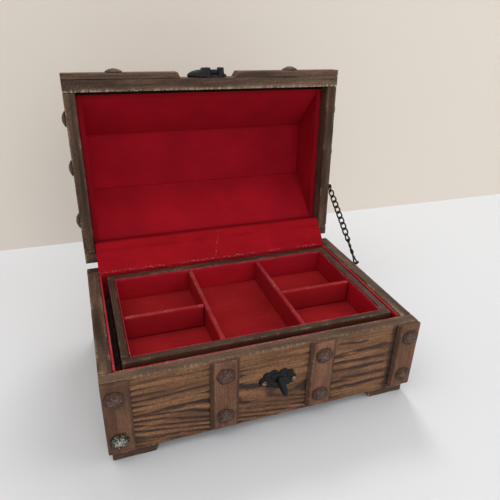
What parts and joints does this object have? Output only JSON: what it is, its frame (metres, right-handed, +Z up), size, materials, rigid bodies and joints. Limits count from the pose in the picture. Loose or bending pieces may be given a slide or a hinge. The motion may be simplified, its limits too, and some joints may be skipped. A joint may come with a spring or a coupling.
{
  "type": "keepsake chest",
  "caption": "Open wooden keepsake chest with a faceted lid, red lining, a lift-out divided tray, a hasp with a turn button and a stay chain.",
  "frame": {"origin": "on the table, under the middle of the outline of the chest with its lid open", "axes": "+X to the right as its front is faced, -Y towards the front with the latch, +Z up"},
  "size_m": [0.2502, 0.2454, 0.2397],
  "materials": {
    "board_wood": "satin, deep relief grain",
    "strap_wood": "satin, fine relief grain",
    "tray_wood": "satin, worn edges",
    "red_lining": "flocked, matt",
    "domed_nails": "hammered, dark copper tone",
    "small_nails": "worn",
    "black_iron": "satin, dark",
    "chain_metal": "dark bronze tone",
    "steel": "dull"
  },
  "bodies": {
    "base": {"base_front_board": "board_wood", "base_back_board": "board_wood", "base_left_board": "board_wood", "base_right_board": "board_wood", "base_bottom_board": "board_wood", "feet": "board_wood", "base_strap_1": "strap_wood", "base_strap_2": "strap_wood", "base_strap_3": "strap_wood", "base_strap_4": "strap_wood", "base_studs": "domed_nails", "base_lining": "red_lining", "tray_ledges": "board_wood", "hinge_base_leaf_left": "steel", "hinge_pins": "steel", "hinge_base_leaf_right": "steel", "hinge_base_screws": "steel", "latch_base_plate": "black_iron", "base_nails": "small_nails", "hinge_cloth": "red_lining"},
    "lid": {"lid_strap_1": "strap_wood", "lid_strap_2": "strap_wood", "lid_strap_3": "strap_wood", "lid_strap_4": "strap_wood", "hinge_lid_leaf_left": "steel", "hinge_lid_leaf_right": "steel", "hinge_lid_screws": "steel", "lid_front_board": "board_wood", "lid_back_board": "board_wood", "lid_left_end": "board_wood", "lid_right_end": "board_wood", "lid_front_slope": "board_wood", "lid_top_board": "board_wood", "lid_back_slope": "board_wood", "lid_lining": "red_lining", "lid_moulding_left": "strap_wood", "lid_moulding_right": "strap_wood", "lid_studs": "domed_nails", "hasp_lid_plate": "black_iron", "hasp_pin": "black_iron", "lid_nails": "small_nails"},
    "tray": {"tray_front_board": "tray_wood", "tray_back_board": "tray_wood", "tray_left_board": "tray_wood", "tray_right_board": "tray_wood", "tray_bottom": "tray_wood", "tray_lining": "red_lining", "tray_long_divider_left": "red_lining", "tray_short_divider_left": "red_lining", "tray_long_divider_right": "red_lining", "tray_short_divider_right": "red_lining"},
    "hasp": {"hasp_leaf": "black_iron"},
    "turn_button": {"turn_button": "black_iron"},
    "chain_1": {"chain_1": "chain_metal"},
    "chain_2": {"chain_2": "chain_metal"},
    "chain_3": {"chain_3": "chain_metal"},
    "chain_4": {"chain_4": "chain_metal"},
    "chain_5": {"chain_5": "chain_metal"},
    "chain_6": {"chain_6": "chain_metal"},
    "chain_7": {"chain_7": "chain_metal"}
  },
  "joints": [
    {"name": "lid_hinge", "type": "hinge", "parent": "base", "child": "lid", "pos_m": [-0.00255, 0.05196, 0.0723], "axis": [1, 0, 0], "range_deg": [0, 93.15], "deforming": ["hinge_cloth"]},
    {"name": "hasp_hinge", "type": "hinge", "parent": "lid", "child": "hasp", "pos_m": [0.00065, 0.0645, 0.23476], "axis": [1, 0, 0], "range_deg": [0, 189.91]},
    {"name": "turn_button_turn", "type": "hinge", "parent": "base", "child": "turn_button", "pos_m": [0.00065, -0.10675, 0.0439], "axis": [0, -1, 0], "range_deg": [0, 90]},
    {"name": "tray_lift", "type": "slide", "parent": "base", "child": "tray", "axis": [0, 0, 1], "range_m": [0, 0.01]},
    {"name": "chain_bend_1", "type": "hinge", "parent": "base", "child": "chain_1", "pos_m": [0.12225, -0.00424, 0.0685], "axis": [1, 0, 0], "range_deg": [-103.08, 0]},
    {"name": "chain_bend_2", "type": "hinge", "parent": "chain_1", "child": "chain_2", "pos_m": [0.12225, 0.00422, 0.07599], "axis": [1, 0, 0], "range_deg": [0, 39.69]},
    {"name": "chain_bend_3", "type": "hinge", "parent": "chain_2", "child": "chain_3", "pos_m": [0.12225, 0.01332, 0.08404], "axis": [1, 0, 0], "range_deg": [0, 45.19]},
    {"name": "chain_bend_4", "type": "hinge", "parent": "chain_3", "child": "chain_4", "pos_m": [0.12225, 0.02242, 0.09209], "axis": [1, 0, 0], "range_deg": [0, 49.05]},
    {"name": "chain_bend_5", "type": "hinge", "parent": "chain_4", "child": "chain_5", "pos_m": [0.12225, 0.03152, 0.10014], "axis": [1, 0, 0], "range_deg": [0, 49.05]},
    {"name": "chain_bend_6", "type": "hinge", "parent": "chain_5", "child": "chain_6", "pos_m": [0.12225, 0.04062, 0.10819], "axis": [1, 0, 0], "range_deg": [0, 49.05]},
    {"name": "chain_bend_7", "type": "hinge", "parent": "chain_6", "child": "chain_7", "pos_m": [0.12225, 0.04973, 0.11625], "axis": [1, 0, 0], "range_deg": [0, 49.05]}
  ],
  "couplings": [
    {"joint": "chain_bend_1", "follows": "lid_hinge", "ratio": -1.106},
    {"joint": "chain_bend_2", "follows": "lid_hinge", "ratio": 0.4255},
    {"joint": "chain_bend_3", "follows": "lid_hinge", "ratio": 0.48464},
    {"joint": "chain_bend_4", "follows": "lid_hinge", "ratio": 0.52603},
    {"joint": "chain_bend_5", "follows": "lid_hinge", "ratio": 0.52603},
    {"joint": "chain_bend_6", "follows": "lid_hinge", "ratio": 0.52603},
    {"joint": "chain_bend_7", "follows": "lid_hinge", "ratio": 0.52603}
  ]
}
